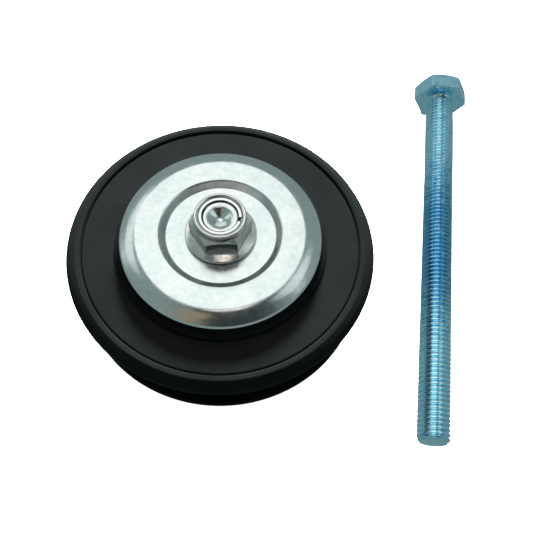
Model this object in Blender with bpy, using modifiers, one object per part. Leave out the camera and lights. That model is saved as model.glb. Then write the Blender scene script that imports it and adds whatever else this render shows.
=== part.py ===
"""Belt tensioner idler: a formed steel ribbed pulley on a sealed ball bearing, its stud and slider block,
its dust shields and cover plate, the locking flange nut, and the long adjuster bolt lying beside it.

The pulley turns about the Z axis. Z = 0 is the flat rear face of the slider block, which it stands on."""

from math import atan2, cos, degrees, pi, radians, sin, sqrt, tan

import bmesh
import bpy
from mathutils import Matrix

MM = 0.001
CLEAR = 0.3 * MM  # air between two pieces that touch
MERGE = 0.00001

# Slider block
BLOCK_X, BLOCK_Y, BLOCK_Z = 28 * MM, 34 * MM, 14 * MM
TONGUE_X, TONGUE_Z = 12 * MM, 3.2 * MM  # the tongue runs in the bracket's slot
BOLT_HOLE_R, BOLT_HOLE_Z = 5.2 * MM, 6.2 * MM
STUD_ROOT_Z = 12.0 * MM  # floor of the stud's socket in the block

# Pulley rim
RIM_Z = 36.5 * MM  # height of the front flange's widest circle
RIM_R = 44.0 * MM
REAR_FLANGE_R = 42.15 * MM
DRUM_R = 38.6 * MM  # over the tips of the ribs
DRUM_INNER_R = 34.9 * MM
GROOVES = 4
GROOVE_PITCH = 3.56 * MM
GROOVE_DEPTH = 2.5 * MM
GROOVE_HALF_ANGLE = radians(20)
RIB_TIP = 0.8 * MM  # flat width of a rib's tip
DRUM_TOP = -1.2 * MM  # drum's ends, from the widest circle
DRUM_END = -15.45 * MM
WEB_SHEET = 1.6 * MM
SEAM_R = 39.6 * MM  # where the rolled lip meets the pressed web
HOUSING_R = 22.4 * MM  # outside of the sleeve that holds the bearing
SNAP_RING_TOP, SNAP_RING_T = -0.95 * MM, 1.0 * MM
SNAP_RING_R, SNAP_RING_INNER_R = 20.8 * MM, 18.2 * MM
SNAP_RING_GAP = 5 * MM

# Ball bearing, 17 x 40 x 12 mm
BORE_R, BEARING_R, BEARING_W = 8.5 * MM, 20.0 * MM, 12.0 * MM
BEARING_Z = RIM_Z - 8.2 * MM  # its middle plane
BALLS = 8
BALL_R = 3.374 * MM
BALL_PITCH_R = 14.25 * MM
RACE_R = 3.51 * MM
INNER_SHOULDER_R, OUTER_SHOULDER_R = 12.3 * MM, 16.3 * MM
CAGE_SHEET = 0.5 * MM
SEAL_T = 0.8 * MM

# Stud, nut and what they clamp
STUD_R = 4.95 * MM
STUD_HOLE_R = STUD_R + CLEAR
STUD_TOP = RIM_Z + 16.0 * MM
COLLAR_R = 11.5 * MM
PLATE_R = 28.4 * MM
PLATE_SHEET = 1.2 * MM
PLATE_SEAT_Z = RIM_Z + 7.0 * MM  # top of the plate's flat centre, under the nut
SHIELD_SHEET = 1.0 * MM
NUT_AF, NUT_FLANGE_R, NUT_CROWN_R = 15.0 * MM, 10.0 * MM, 7.2 * MM
NUT_TOP = RIM_Z + 16.9 * MM
NUT_HOLE_R = 5.25 * MM
NUT_FLANGE_T = 1.2 * MM  # at the flange's edge
NUT_CROWN_RISE = 2.0 * MM  # the crown above the hexagon
RING_SEAT_R, RING_SEAT_DEPTH = 5.9 * MM, 1.8 * MM
FRICTION_RING_T = 0.7 * MM
FRICTION_RING_GAP, FRICTION_RING_TURN = 2.4 * MM, radians(-60)

# Adjuster bolt, M10 x 130
BOLT_R, BOLT_L = 5.0 * MM, 130 * MM
BOLT_AF, BOLT_HEAD_K = 17 * MM, 6.4 * MM
BOLT_X, BOLT_Y = 85.4 * MM, 75.2 * MM  # under the head
BOLT_TURN = radians(11.1)  # from +Y towards +X

for old in list(bpy.data.objects):
    bpy.data.objects.remove(old)

PARTS = bpy.data.collections.new("belt_tensioner_idler")
CUTTERS = bpy.data.collections.new("cutters")
for group in (PARTS, CUTTERS):
    bpy.context.scene.collection.children.link(group)


# ---------------------------------------------------------------- helpers

def add(name, mesh, material=None, place=(0, 0, 0)):
    """One finished sub-part, or a cutter where no material is given."""
    piece = bpy.data.objects.new(name, mesh)
    piece.location = place
    if material is None:
        CUTTERS.objects.link(piece)
        piece.hide_render = True
        piece.display_type = "WIRE"
    else:
        PARTS.objects.link(piece)
        colour, roughness, metallic = material
        finish = bpy.data.materials.new(name)
        finish.use_nodes = True
        shader = finish.node_tree.nodes["Principled BSDF"]
        shader.inputs["Base Color"].default_value = (*colour, 1)
        shader.inputs["Roughness"].default_value = roughness
        shader.inputs["Metallic"].default_value = metallic
        mesh.materials.append(finish)
    return piece


BLACK_PAINT = ((0.012, 0.014, 0.015), 0.35, 0.0)
ZINC = ((0.62, 0.66, 0.66), 0.30, 1.0)
NICKEL = ((0.55, 0.53, 0.50), 0.25, 1.0)
BLUE_ZINC = ((0.32, 0.55, 0.68), 0.28, 1.0)
STEEL = ((0.45, 0.45, 0.45), 0.30, 1.0)
SPRING_STEEL = ((0.16, 0.16, 0.17), 0.35, 1.0)
RUBBER = ((0.02, 0.02, 0.022), 0.6, 0.0)


def turned(name, profile, material=None, steps=28, z=0.0, closed=True, place=(0, 0)):
    """Turns (radius, height) points about Z. A closed profile makes a ring; an open one has its ends on the axis."""
    mesh = bpy.data.meshes.new(name)
    count = len(profile)
    edges = [(i, (i + 1) % count) for i in range(count if closed else count - 1)]
    mesh.from_pydata([(r, 0, h) for r, h in profile], edges, [])
    piece = add(name, mesh, material, (*place, z))
    screw = piece.modifiers.new("turn", "SCREW")
    screw.steps = steps
    screw.render_steps = steps
    screw.use_merge_vertices = True
    screw.merge_threshold = MERGE
    screw.use_smooth_shade = True
    return piece


def cylinder(name, radius, low, high, sides=24):
    """A cylinder about Z from one height to another, to cut or to join with."""
    mesh = bpy.data.meshes.new(name)
    form = bmesh.new()
    bmesh.ops.create_cone(form, cap_ends=True, segments=sides, radius1=radius, radius2=radius,
                          depth=high - low)
    form.to_mesh(mesh)
    form.free()
    return add(name, mesh, None, (0, 0, (low + high) / 2))


def box(name, size, middle, material=None):
    """A box of that size about its middle."""
    mesh = bpy.data.meshes.new(name)
    form = bmesh.new()
    bmesh.ops.create_cube(form, size=1, matrix=Matrix.Diagonal((*size, 1)))
    form.to_mesh(mesh)
    form.free()
    return add(name, mesh, material, middle)


def chamfer_edges(piece, width):
    """A flat chamfer on every sharp edge."""
    edge = piece.modifiers.new("edges", "BEVEL")
    edge.width = width
    edge.segments = 1
    edge.limit_method = "ANGLE"
    edge.angle_limit = radians(30)


def combine(piece, other, operation):
    """An exact Boolean of the piece with another object."""
    cut = piece.modifiers.new(operation.lower(), "BOOLEAN")
    cut.operation = operation
    cut.solver = "EXACT"
    cut.object = other


def ring(outer, inner, top, bottom, edge=0.0):
    """The section of a plain ring, its outer corners chamfered by edge."""
    if not edge:
        return [(outer, top), (outer, bottom), (inner, bottom), (inner, top)]
    return [(outer - edge, top), (outer, top - edge), (outer, bottom + edge), (outer - edge, bottom),
            (inner, bottom), (inner, top)]


def arc(centre, radius, start, end, steps):
    """Points along an arc in the section plane, its angles in degrees from +R."""
    turn = [radians(start + (end - start) * i / steps) for i in range(steps + 1)]
    return [(centre[0] + radius * cos(a), centre[1] + radius * sin(a)) for a in turn]


# ---------------------------------------------------------------- pulley

def grooved_drum():
    """The drum's outline from top to bottom: V grooves between narrow rib tips."""
    half_mouth = (GROOVE_PITCH - RIB_TIP) / 2
    half_floor = half_mouth - GROOVE_DEPTH * tan(GROOVE_HALF_ANGLE)
    middle = (DRUM_TOP + DRUM_END) / 2
    points = []
    for i in range(GROOVES):
        z = middle + (GROOVES / 2 - 0.5 - i) * GROOVE_PITCH
        floor = DRUM_R - GROOVE_DEPTH
        points += [(DRUM_R, z + half_mouth), (floor, z + half_floor),
                   (floor, z - half_floor), (DRUM_R, z - half_mouth)]
    return points


def pulley_rim():
    """Rolled lip, front flange, four-groove drum and rear flange, all one spun ring."""
    web_seat = 0.34 * MM
    lip = [(SEAM_R, 2.2 * MM), (40.2 * MM, 2.7 * MM), (40.9 * MM, 2.8 * MM), (42.0 * MM, 2.3 * MM),
           (43.3 * MM, 1.15 * MM), (43.85 * MM, 0.5 * MM), (RIM_R, 0), (43.7 * MM, -0.6 * MM)]
    rear = [(41.5 * MM, DRUM_END), (REAR_FLANGE_R, -16.2 * MM), (41.7 * MM, -16.9 * MM),
            (41.0 * MM, -17.1 * MM), (DRUM_INNER_R, -17.1 * MM)]
    seat = [(DRUM_INNER_R, web_seat), (SEAM_R, web_seat)]
    profile = lip + [(DRUM_R, DRUM_TOP)] + grooved_drum() + [(DRUM_R, DRUM_END)] + rear + seat
    return turned("pulley_rim", profile, BLACK_PAINT, steps=44, z=RIM_Z)


def pulley_web():
    """The pressed disc: its flat face, and the sleeve behind it that holds the bearing."""
    t = WEB_SHEET
    edge_r = SEAM_R - CLEAR
    face = 2.24 * MM
    bend = 1.0 * MM
    housing_in, housing_out = BEARING_R + CLEAR, HOUSING_R
    end = -15.8 * MM
    rear_lip_r = 18.6 * MM
    groove_high = SNAP_RING_TOP + 0.15 * MM
    groove_low = SNAP_RING_TOP - SNAP_RING_T - 0.25 * MM
    groove_r = SNAP_RING_R + CLEAR
    profile = [
        (edge_r, face), (edge_r, face - t), (housing_out + bend, face - t), (housing_out, face - t - bend),
        (housing_out, end), (rear_lip_r, end), (rear_lip_r, end + 1.3 * MM), (housing_in, end + 1.3 * MM),
        (housing_in, groove_low), (groove_r, groove_low), (groove_r, groove_high), (housing_in, groove_high),
        (housing_in, face - t), (housing_in + 0.4 * t, face - 0.4 * t), (housing_in + t, face)]
    return turned("pulley_web", profile, BLACK_PAINT, steps=36, z=RIM_Z)


def hub_snap_ring():
    """The split ring in the housing's groove, which keeps the bearing in."""
    high = RIM_Z + SNAP_RING_TOP
    section = ring(SNAP_RING_R, SNAP_RING_INNER_R, high, high - SNAP_RING_T)
    piece = turned("hub_snap_ring", section, SPRING_STEEL)
    gap = box("snap_ring_gap", (8 * MM, SNAP_RING_GAP, 4 * SNAP_RING_T), (SNAP_RING_INNER_R, 0, high))
    combine(piece, gap, "DIFFERENCE")
    return piece


# ---------------------------------------------------------------- bearing

def bearing_rings():
    """Inner and outer ring, each with a round raceway."""
    half = BEARING_W / 2
    chamfer = 0.6 * MM
    reach = sqrt(RACE_R ** 2 - (INNER_SHOULDER_R - BALL_PITCH_R) ** 2)
    angle = degrees(atan2(reach, BALL_PITCH_R - INNER_SHOULDER_R))
    inner_race = arc((BALL_PITCH_R, 0), RACE_R, 180 - angle, 180 + angle, 6)
    inner = ([(INNER_SHOULDER_R, half)] + inner_race
             + [(INNER_SHOULDER_R, -half), (BORE_R + chamfer, -half), (BORE_R, chamfer - half),
                (BORE_R, half - chamfer), (BORE_R + chamfer, half)])
    turned("bearing_inner_ring", inner, STEEL, z=BEARING_Z)
    reach = sqrt(RACE_R ** 2 - (OUTER_SHOULDER_R - BALL_PITCH_R) ** 2)
    angle = degrees(atan2(reach, OUTER_SHOULDER_R - BALL_PITCH_R))
    outer_race = arc((BALL_PITCH_R, 0), RACE_R, -angle, angle, 6)
    outer = ([(BEARING_R - chamfer, half), (BEARING_R, half - chamfer), (BEARING_R, chamfer - half),
              (BEARING_R - chamfer, -half), (OUTER_SHOULDER_R, -half)] + outer_race
             + [(OUTER_SHOULDER_R, half)])
    turned("bearing_outer_ring", outer, STEEL, z=BEARING_Z)


def ball_angle(i):
    return 2 * pi * i / BALLS


def bearing_balls():
    """Eight balls on the pitch circle, each a little under size so that it clears both raceways."""
    for i in range(BALLS):
        mesh = bpy.data.meshes.new(f"bearing_ball_{i + 1}")
        form = bmesh.new()
        bmesh.ops.create_uvsphere(form, u_segments=10, v_segments=6, radius=BALL_R - 0.1 * MM)
        form.to_mesh(mesh)
        form.free()
        mesh.shade_smooth()
        a = ball_angle(i)
        add(mesh.name, mesh, STEEL, (BALL_PITCH_R * cos(a), BALL_PITCH_R * sin(a), BEARING_Z))


def pocket_spheres(name, radius):
    """Spheres at the balls' places, to form or to clear the cage's pockets."""
    mesh = bpy.data.meshes.new(name)
    form = bmesh.new()
    for i in range(BALLS):
        a = ball_angle(i)
        place = Matrix.Translation((BALL_PITCH_R * cos(a), BALL_PITCH_R * sin(a), 0))
        bmesh.ops.create_uvsphere(form, u_segments=8, v_segments=6, radius=radius, matrix=place)
    form.to_mesh(mesh)
    form.free()
    return add(name, mesh, None, (0, 0, BEARING_Z))


def ball_cage():
    """The two ribbon halves, with a pocket for each ball, and the rivets that join them."""
    inner_r, outer_r = 12.9 * MM, 15.6 * MM
    web_low, web_high = CLEAR / 2, CLEAR / 2 + CAGE_SHEET
    rivet_r, hole_r = 0.4 * MM, 0.65 * MM
    inset = 0.1 * MM  # keeps the pockets' faces off the flat ring's faces
    hollow = pocket_spheres("pocket_hollows", BALL_R + 0.3 * MM)
    holes = bpy.data.meshes.new("rivet_holes")
    form = bmesh.new()
    for i in range(BALLS):
        a = ball_angle(i + 0.5)
        place = Matrix.Translation((BALL_PITCH_R * cos(a), BALL_PITCH_R * sin(a), 0))
        bmesh.ops.create_cone(form, cap_ends=True, segments=8, radius1=hole_r, radius2=hole_r,
                              depth=6 * MM, matrix=place)
    form.to_mesh(holes)
    form.free()
    drill = add("rivet_holes", holes, None, (0, 0, BEARING_Z))
    for side, name in ((1, "ball_cage_front"), (-1, "ball_cage_rear")):
        low, high = sorted((side * web_low, side * web_high))
        piece = turned(name, ring(outer_r, inner_r, high, low), SPRING_STEEL, z=BEARING_Z)
        low, high = sorted((side * (web_low + inset), side * 5 * MM))
        band = turned(name + "_band", ring(outer_r - inset, inner_r + inset, high, low), z=BEARING_Z)
        pockets = pocket_spheres(name + "_pockets", BALL_R + 0.3 * MM + CAGE_SHEET)
        combine(pockets, band, "INTERSECT")
        combine(piece, pockets, "UNION")
        combine(piece, hollow, "DIFFERENCE")
        combine(piece, drill, "DIFFERENCE")
    for i in range(BALLS):
        a = ball_angle(i + 0.5)
        head_r, head = 0.95 * MM, 0.45 * MM
        top = web_high + 0.1 * MM
        profile = [(0, top + head), (head_r * 0.6, top + head), (head_r, top), (rivet_r, top),
                   (rivet_r, -top), (head_r, -top), (head_r * 0.6, -top - head), (0, -top - head)]
        turned(f"cage_rivet_{i + 1}", profile, STEEL, steps=6, z=BEARING_Z, closed=False,
               place=(BALL_PITCH_R * cos(a), BALL_PITCH_R * sin(a)))


def bearing_seals():
    """A rubber seal at each face, held by the outer ring."""
    for side, name in ((1, "bearing_seal_front"), (-1, "bearing_seal_rear")):
        outward = side * (BEARING_W / 2 - 0.3 * MM)
        inward = outward - side * SEAL_T
        high, low = max(outward, inward), min(outward, inward)
        section = ring(OUTER_SHOULDER_R - CLEAR, INNER_SHOULDER_R + CLEAR, high, low)
        turned(name, section, RUBBER, z=BEARING_Z)


# ---------------------------------------------------------------- shaft and covers

def front_collar():
    """A flanged bush: its sleeve fills the bearing's bore and its flange carries the covers."""
    sleeve_r = BORE_R - CLEAR
    sleeve_low = BEARING_Z - BEARING_W / 2
    flange_low = BEARING_Z + BEARING_W / 2 + CLEAR
    top = PLATE_SEAT_Z - PLATE_SHEET - SHIELD_SHEET - 2 * CLEAR
    edge = 0.5 * MM
    profile = [(COLLAR_R - edge, top), (COLLAR_R, top - edge), (COLLAR_R, flange_low), (sleeve_r, flange_low),
               (sleeve_r, sleeve_low), (STUD_HOLE_R, sleeve_low), (STUD_HOLE_R, top)]
    return turned("front_collar", profile, STEEL)


def rear_collar():
    """The spacer that keeps the turning pulley off the bracket."""
    low = BLOCK_Z + TONGUE_Z + CLEAR
    high = BEARING_Z - BEARING_W / 2 - CLEAR - SHIELD_SHEET - CLEAR
    return turned("rear_collar", ring(COLLAR_R, STUD_HOLE_R, high, low, 0.5 * MM), STEEL)


def rear_dust_shield():
    """A stepped washer that covers the bearing's rear face."""
    t = SHIELD_SHEET
    centre = -CLEAR - BEARING_W / 2
    outer = centre - 1.9 * MM
    profile = [(12.6 * MM, centre), (14.4 * MM, outer), (23.4 * MM, outer), (23.8 * MM, outer - 0.4 * MM),
               (23.8 * MM, outer - t), (13.8 * MM, outer - t), (12.1 * MM, centre - t),
               (STUD_HOLE_R, centre - t), (STUD_HOLE_R, centre)]
    return turned("rear_dust_shield", profile, BLACK_PAINT, z=BEARING_Z)


def front_dust_shield():
    """The black cup behind the cover plate. Its flared wall ends just above the turning web."""
    t = SHIELD_SHEET
    top = PLATE_SEAT_Z - PLATE_SHEET - CLEAR - RIM_Z
    foot = 2.75 * MM
    profile = [(27.4 * MM, top), (28.3 * MM, top - 0.4 * MM), (28.9 * MM, top - 1.2 * MM),
               (30.1 * MM, foot + 0.25 * MM), (30.0 * MM, foot), (29.3 * MM, foot),
               (28.1 * MM, top - 1.8 * MM), (27.4 * MM, top - 1.1 * MM), (26.6 * MM, top - t),
               (STUD_HOLE_R, top - t), (STUD_HOLE_R, top)]
    return turned("front_dust_shield", profile, BLACK_PAINT, steps=36, z=RIM_Z)


def cover_plate():
    """The bright pressed plate: flat centre, raised ring and a slope rolled down to the edge."""
    t = PLATE_SHEET
    seat = PLATE_SEAT_Z - RIM_Z
    ring_top = 8.8 * MM
    profile = [(14.8 * MM, seat), (15.6 * MM, seat + 0.15 * MM), (16.9 * MM, ring_top - 0.35 * MM),
               (18.3 * MM, ring_top), (22.4 * MM, ring_top), (23.6 * MM, ring_top - 0.25 * MM),
               (24.9 * MM, ring_top - 0.7 * MM), (PLATE_R - 0.3 * MM, 6.75 * MM), (PLATE_R, 6.35 * MM),
               (PLATE_R - 0.5 * MM, 5.75 * MM), (24.4 * MM, ring_top - 0.75 * MM - t),
               (22.4 * MM, ring_top - t), (18.4 * MM, ring_top - t), (17.5 * MM, ring_top - 0.3 * MM - t),
               (16.3 * MM, seat - t + 0.3 * MM), (15.4 * MM, seat - t),
               (STUD_HOLE_R, seat - t), (STUD_HOLE_R, seat)]
    return turned("cover_plate", profile, ZINC, steps=36, z=RIM_Z)


def slider_block():
    """The block that slides behind the bracket: a tongue for its slot, a cross hole for the adjuster."""
    block = box("slider_block", (BLOCK_X, BLOCK_Y, BLOCK_Z), (0, 0, BLOCK_Z / 2), STEEL)
    chamfer_edges(block, 0.8 * MM)
    sunk = 1.0 * MM
    tongue = box("tongue", (TONGUE_X, BLOCK_Y - 2 * MM, TONGUE_Z + sunk),
                 (0, 0, BLOCK_Z + (TONGUE_Z - sunk) / 2))
    socket = cylinder("stud_socket", STUD_HOLE_R, STUD_ROOT_Z, BLOCK_Z + 2 * TONGUE_Z)
    hole = cylinder("adjuster_hole", BOLT_HOLE_R, -BLOCK_Y, BLOCK_Y)
    hole.rotation_euler = (pi / 2, 0, 0)
    hole.location = (0, 0, BOLT_HOLE_Z)
    combine(block, tongue, "UNION")
    combine(block, socket, "DIFFERENCE")
    combine(block, hole, "DIFFERENCE")
    return block


def stud():
    """The M10 stud, fast in the block, with a centre hole in its chamfered end."""
    low = STUD_ROOT_Z + CLEAR
    chamfer = 0.7 * MM
    profile = [(0, STUD_TOP - 2.4 * MM), (0.8 * MM, STUD_TOP - 2.2 * MM), (2.85 * MM, STUD_TOP),
               (STUD_R - chamfer, STUD_TOP), (STUD_R, STUD_TOP - chamfer), (STUD_R, low + chamfer),
               (STUD_R - chamfer, low), (0, low)]
    return turned("stud", profile, ZINC, steps=24, closed=False)


def hexagon(name, across_flats, low, high, flat_r):
    """A hexagonal prism about Z with a corner on +X, its top corners turned down by a 30 degree cone.
    flat_r is the radius of the flat left on top. It is a cutter, to be joined to a turned piece."""
    prism = cylinder(name, across_flats / sqrt(3), low, high, sides=6)
    prism.rotation_euler = (0, 0, pi / 6)
    beyond = 1 * MM
    rise = tan(radians(30))
    corner_r = across_flats / sqrt(3) + 0.2 * MM
    profile = [(0, high + beyond), (flat_r - beyond / rise, high + beyond),
               (corner_r, high - (corner_r - flat_r) * rise), (corner_r, low - beyond), (0, low - beyond)]
    cone = turned(name + "_cone", profile, None, closed=False)
    cone.rotation_euler = (0, 0, radians(2.5))  # no edge of it runs along an edge of the turned piece
    combine(prism, cone, "INTERSECT")
    return prism, cone


def flange_nut():
    """Hexagon, conical flange and the crown that holds the friction ring."""
    low = PLATE_SEAT_Z + CLEAR
    hex_top = NUT_TOP - NUT_CROWN_RISE
    rest = low + NUT_FLANGE_T
    edge = 0.5 * MM
    profile = [(0, NUT_TOP), (NUT_CROWN_R - edge, NUT_TOP), (NUT_CROWN_R, NUT_TOP - edge),
               (NUT_CROWN_R, rest + 1.8 * MM), (NUT_FLANGE_R, rest), (NUT_FLANGE_R, low), (0, low)]
    piece = turned("flange_nut", profile, NICKEL, closed=False)
    body, _ = hexagon("nut_hexagon", NUT_AF, low + 0.6 * MM, hex_top, NUT_CROWN_R - 0.4 * MM)
    thread = cylinder("nut_thread_hole", NUT_HOLE_R, low - 5 * MM, NUT_TOP + 5 * MM)
    ring_seat = cylinder("friction_ring_seat", RING_SEAT_R, NUT_TOP - RING_SEAT_DEPTH, NUT_TOP + 5 * MM)
    combine(piece, body, "UNION")
    combine(piece, thread, "DIFFERENCE")
    combine(piece, ring_seat, "DIFFERENCE")
    return piece


def nut_friction_ring():
    """The split ring in the nut's crown, which grips the thread."""
    high = NUT_TOP - 0.35 * MM
    section = ring(RING_SEAT_R - 0.15 * MM, STUD_R + 0.2 * MM, high, high - FRICTION_RING_T)
    piece = turned("nut_friction_ring", section, SPRING_STEEL)
    gap = box("friction_ring_gap", (4 * MM, FRICTION_RING_GAP, 4 * MM), (RING_SEAT_R, 0, high))
    gap.location = Matrix.Rotation(FRICTION_RING_TURN, 3, "Z") @ gap.location
    gap.rotation_euler = (0, 0, FRICTION_RING_TURN)
    combine(piece, gap, "DIFFERENCE")
    return piece


def adjuster_bolt():
    """The long hexagon bolt, lying beside the pulley on one flat of its head and the end of its thread."""
    chamfer = 0.9 * MM
    sunk = 0.6 * MM
    profile = [(0, sunk), (BOLT_R, sunk), (BOLT_R, chamfer - BOLT_L), (BOLT_R - chamfer, -BOLT_L),
               (0, -BOLT_L)]
    piece = turned("adjuster_bolt", profile, BLUE_ZINC, steps=24, closed=False)
    head, cone = hexagon("bolt_head", BOLT_AF, 0, BOLT_HEAD_K, BOLT_AF / 2 - 0.25 * MM)
    combine(piece, head, "UNION")
    tilt = (BOLT_AF / 2 - BOLT_R) / BOLT_L
    lie = (Matrix.Translation((BOLT_X, BOLT_Y, BOLT_AF / 2 + 0.05 * MM))
           @ Matrix.Rotation(-BOLT_TURN, 4, "Z") @ Matrix.Rotation(tilt - pi / 2, 4, "X"))
    for item in (piece, head, cone):
        item.matrix_world = lie @ item.matrix_basis
    return piece


pulley_rim()
pulley_web()
hub_snap_ring()
bearing_rings()
bearing_balls()
ball_cage()
bearing_seals()
front_collar()
rear_collar()
rear_dust_shield()
front_dust_shield()
cover_plate()
slider_block()
stud()
flange_nut()
nut_friction_ring()
adjuster_bolt()
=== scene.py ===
# %% [markdown]
# # A belt tensioner idler, piece by piece
# An idler is a free-turning pulley that presses on a belt. This one is formed from black coated
# sheet steel, turns on a sealed ball bearing, and is held by a stud, a slider block and a locking
# nut. A long bolt, lying beside it, screws through the block and moves the whole pulley to
# tighten the belt.
#
# The solid model with its joints is loaded first. It fixes every size and place. Each of its
# pieces is then made again with fine surfaces and a finish of its own, and rides on the same
# moving body.

# %% Load the fixed model
from math import atan2, cos, degrees, hypot, pi, radians, sin, sqrt, tan

import bmesh
import bpy
import numpy as np
from mathutils import Matrix, Quaternion, Vector


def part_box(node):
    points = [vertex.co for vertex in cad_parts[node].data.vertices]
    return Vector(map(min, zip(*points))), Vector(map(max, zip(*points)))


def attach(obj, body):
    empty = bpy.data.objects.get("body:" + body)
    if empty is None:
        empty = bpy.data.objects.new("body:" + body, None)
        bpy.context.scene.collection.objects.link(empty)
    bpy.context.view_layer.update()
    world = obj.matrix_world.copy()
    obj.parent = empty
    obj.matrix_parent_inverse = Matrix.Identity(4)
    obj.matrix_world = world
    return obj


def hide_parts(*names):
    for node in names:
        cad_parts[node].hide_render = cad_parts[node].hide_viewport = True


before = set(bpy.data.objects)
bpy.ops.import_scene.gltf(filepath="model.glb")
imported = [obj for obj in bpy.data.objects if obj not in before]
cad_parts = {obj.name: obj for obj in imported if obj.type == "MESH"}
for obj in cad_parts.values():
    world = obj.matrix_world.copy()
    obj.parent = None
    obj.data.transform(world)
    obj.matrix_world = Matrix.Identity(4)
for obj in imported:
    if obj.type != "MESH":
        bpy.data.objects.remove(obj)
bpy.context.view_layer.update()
MM = 0.001

# %% [markdown]
# The pulley's parts are all turned, so a few heights and radii say where everything goes. They
# are read from the boxes of the solid pieces. The widest circle of the front flange is the datum
# for most sections, and the bearing's middle is the datum for what is inside the hub.

# %% Read the datums
LIP_RISE = 2.8 * MM
rim_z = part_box("pulley_rim")[1].z - LIP_RISE
rim_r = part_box("pulley_rim")[1].x
nut_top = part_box("flange_nut")[1].z
bearing_low, bearing_high = (corner.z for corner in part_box("bearing_outer_ring"))
bearing_z = (bearing_low + bearing_high) / 2
print(f"flange radius {rim_r / MM:.1f} mm at height {rim_z / MM:.1f} mm")

# %% [markdown]
# The camera looks down at the pulley from about 60 degrees, close enough for the near side of the
# rim to look larger than the far side. It is aimed past the pulley, so the bolt has room at the
# right.

# %% Camera
camera_place = Vector((0.4, -98.2, 209.0)) * MM
camera_aim = Vector((12.5, -7.13, 36.5)) * MM
camera_roll = radians(4.2)
camera_data = bpy.data.cameras.new("studio_camera")
camera_data.lens = 46.5
camera_data.sensor_width = 36
camera_data.clip_start = 0.01
camera = bpy.data.objects.new("studio_camera", camera_data)
bpy.context.scene.collection.objects.link(camera)
camera.location = camera_place
camera.rotation_mode = "QUATERNION"
facing = (camera_aim - camera_place).to_track_quat("-Z", "Y")
camera.rotation_quaternion = facing @ Quaternion((0, 0, 1), camera_roll)
bpy.context.scene.camera = camera
print("camera", round((camera_aim - camera_place).length / MM), "mm away")

# %% [markdown]
# Bright metal shows what surrounds it, so the studio matters as much as the metal. The object
# stands on a pale floor that curves up into a round wall. The paper glows by itself, so it stays
# white without throwing light back at the metal and the black paint.

# %% Floor
FLOOR_R, WALL_R, WALL_HEIGHT = 1.3, 1.8, 1.8
CURVE_STEPS = 8
curve_r = WALL_R - FLOOR_R
floor_profile = [(0, 0), (FLOOR_R, 0)]
for step in range(1, CURVE_STEPS + 1):
    bend = radians(90 * step / CURVE_STEPS)
    floor_profile.append((FLOOR_R + curve_r * sin(bend), curve_r * (1 - cos(bend))))
floor_profile.append((WALL_R, WALL_HEIGHT))
floor_mesh = bpy.data.meshes.new("studio_floor")
floor_mesh.from_pydata([(r, 0, z) for r, z in floor_profile],
                       [(i, i + 1) for i in range(len(floor_profile) - 1)], [])
floor = bpy.data.objects.new("studio_floor", floor_mesh)
bpy.context.scene.collection.objects.link(floor)
sweep = floor.modifiers.new("sweep", "SCREW")
sweep.steps = sweep.render_steps = 96
sweep.use_merge_vertices = True
floor.visible_glossy = floor.visible_diffuse = False

paper = bpy.data.materials.new("pale_paper")
paper.use_nodes = True
paper_nodes, paper_links = paper.node_tree.nodes, paper.node_tree.links
paper_shader = paper_nodes["Principled BSDF"]
paper_shader.inputs["Roughness"].default_value = 0.9
paper_shader.inputs["Specular IOR Level"].default_value = 0.1
paper_shader.inputs["Emission Strength"].default_value = 1.05
paper_grain = paper_nodes.new("ShaderNodeTexNoise")
paper_grain.inputs["Scale"].default_value = 300
paper_tint = paper_nodes.new("ShaderNodeMix")
paper_tint.data_type = "RGBA"
paper_tint.inputs["A"].default_value = (0.93, 0.93, 0.93, 1)
paper_tint.inputs["B"].default_value = (0.96, 0.96, 0.96, 1)
paper_links.new(paper_grain.outputs["Fac"], paper_tint.inputs["Factor"])
for socket in ("Base Color", "Emission Color"):
    paper_links.new(paper_tint.outputs["Result"], paper_shader.inputs[socket])
floor_mesh.materials.append(paper)
print(f"a glowing floor {2 * FLOOR_R:.1f} m across")

# %% [markdown]
# Each lamp is placed by the direction it lies in, seen from the pulley, because that is how metal
# shows it. The flat faces mirror the one behind the pulley. The slopes of the plate mirror one at
# each side, and a small warm one overhead draws the thin line along the rolled edge. The last
# lamp stands low behind and shows in no reflection. It lights the dull black paint, and the
# plate's shadow falls on the web towards the front.

# %% Lamps
LIT_POINT = Vector((0.02, 0, 0.04))


def soft_box(name, toward, distance, size, glow, colour=(1, 1, 1)):
    """A lamp in that direction, facing the pulley. A glow of 1 is as bright as white paper."""
    data = bpy.data.lights.new(name, "AREA")
    data.shape = "RECTANGLE"
    data.size, data.size_y = size
    data.energy = glow * pi * size[0] * size[1]
    data.color = colour
    lamp = bpy.data.objects.new(name, data)
    bpy.context.scene.collection.objects.link(lamp)
    lamp.location = LIT_POINT + Vector(toward).normalized() * distance
    lamp.rotation_euler = Vector(toward).to_track_quat("Z", "Y").to_euler()
    return lamp


soft_box("back_box", (-0.08, 0.45, 0.89), distance=0.62, size=(0.44, 0.46), glow=0.87,
         colour=(0.985, 1.0, 0.995))
soft_box("left_box", (-0.66, 0.50, 0.56), distance=0.60, size=(0.42, 0.24), glow=0.60,
         colour=(0.93, 1.0, 1.0))
soft_box("right_box", (0.60, 0.03, 0.80), distance=0.60, size=(0.30, 0.28), glow=0.55,
         colour=(0.92, 1.0, 1.0))
soft_box("warm_lamp", (0.0, -0.04, 1.0), distance=0.58, size=(0.15, 0.09), glow=1.3,
         colour=(1.0, 0.94, 0.87))
paint_lamp = soft_box("paint_lamp", (0.10, 0.89, 0.44), distance=0.9, size=(0.20, 0.20), glow=480)
paint_lamp.visible_glossy = False

# %% [markdown]
# The room is a dim teal all round, with a dark patch above the front. A brown card there stands
# for whoever holds the camera.

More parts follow.
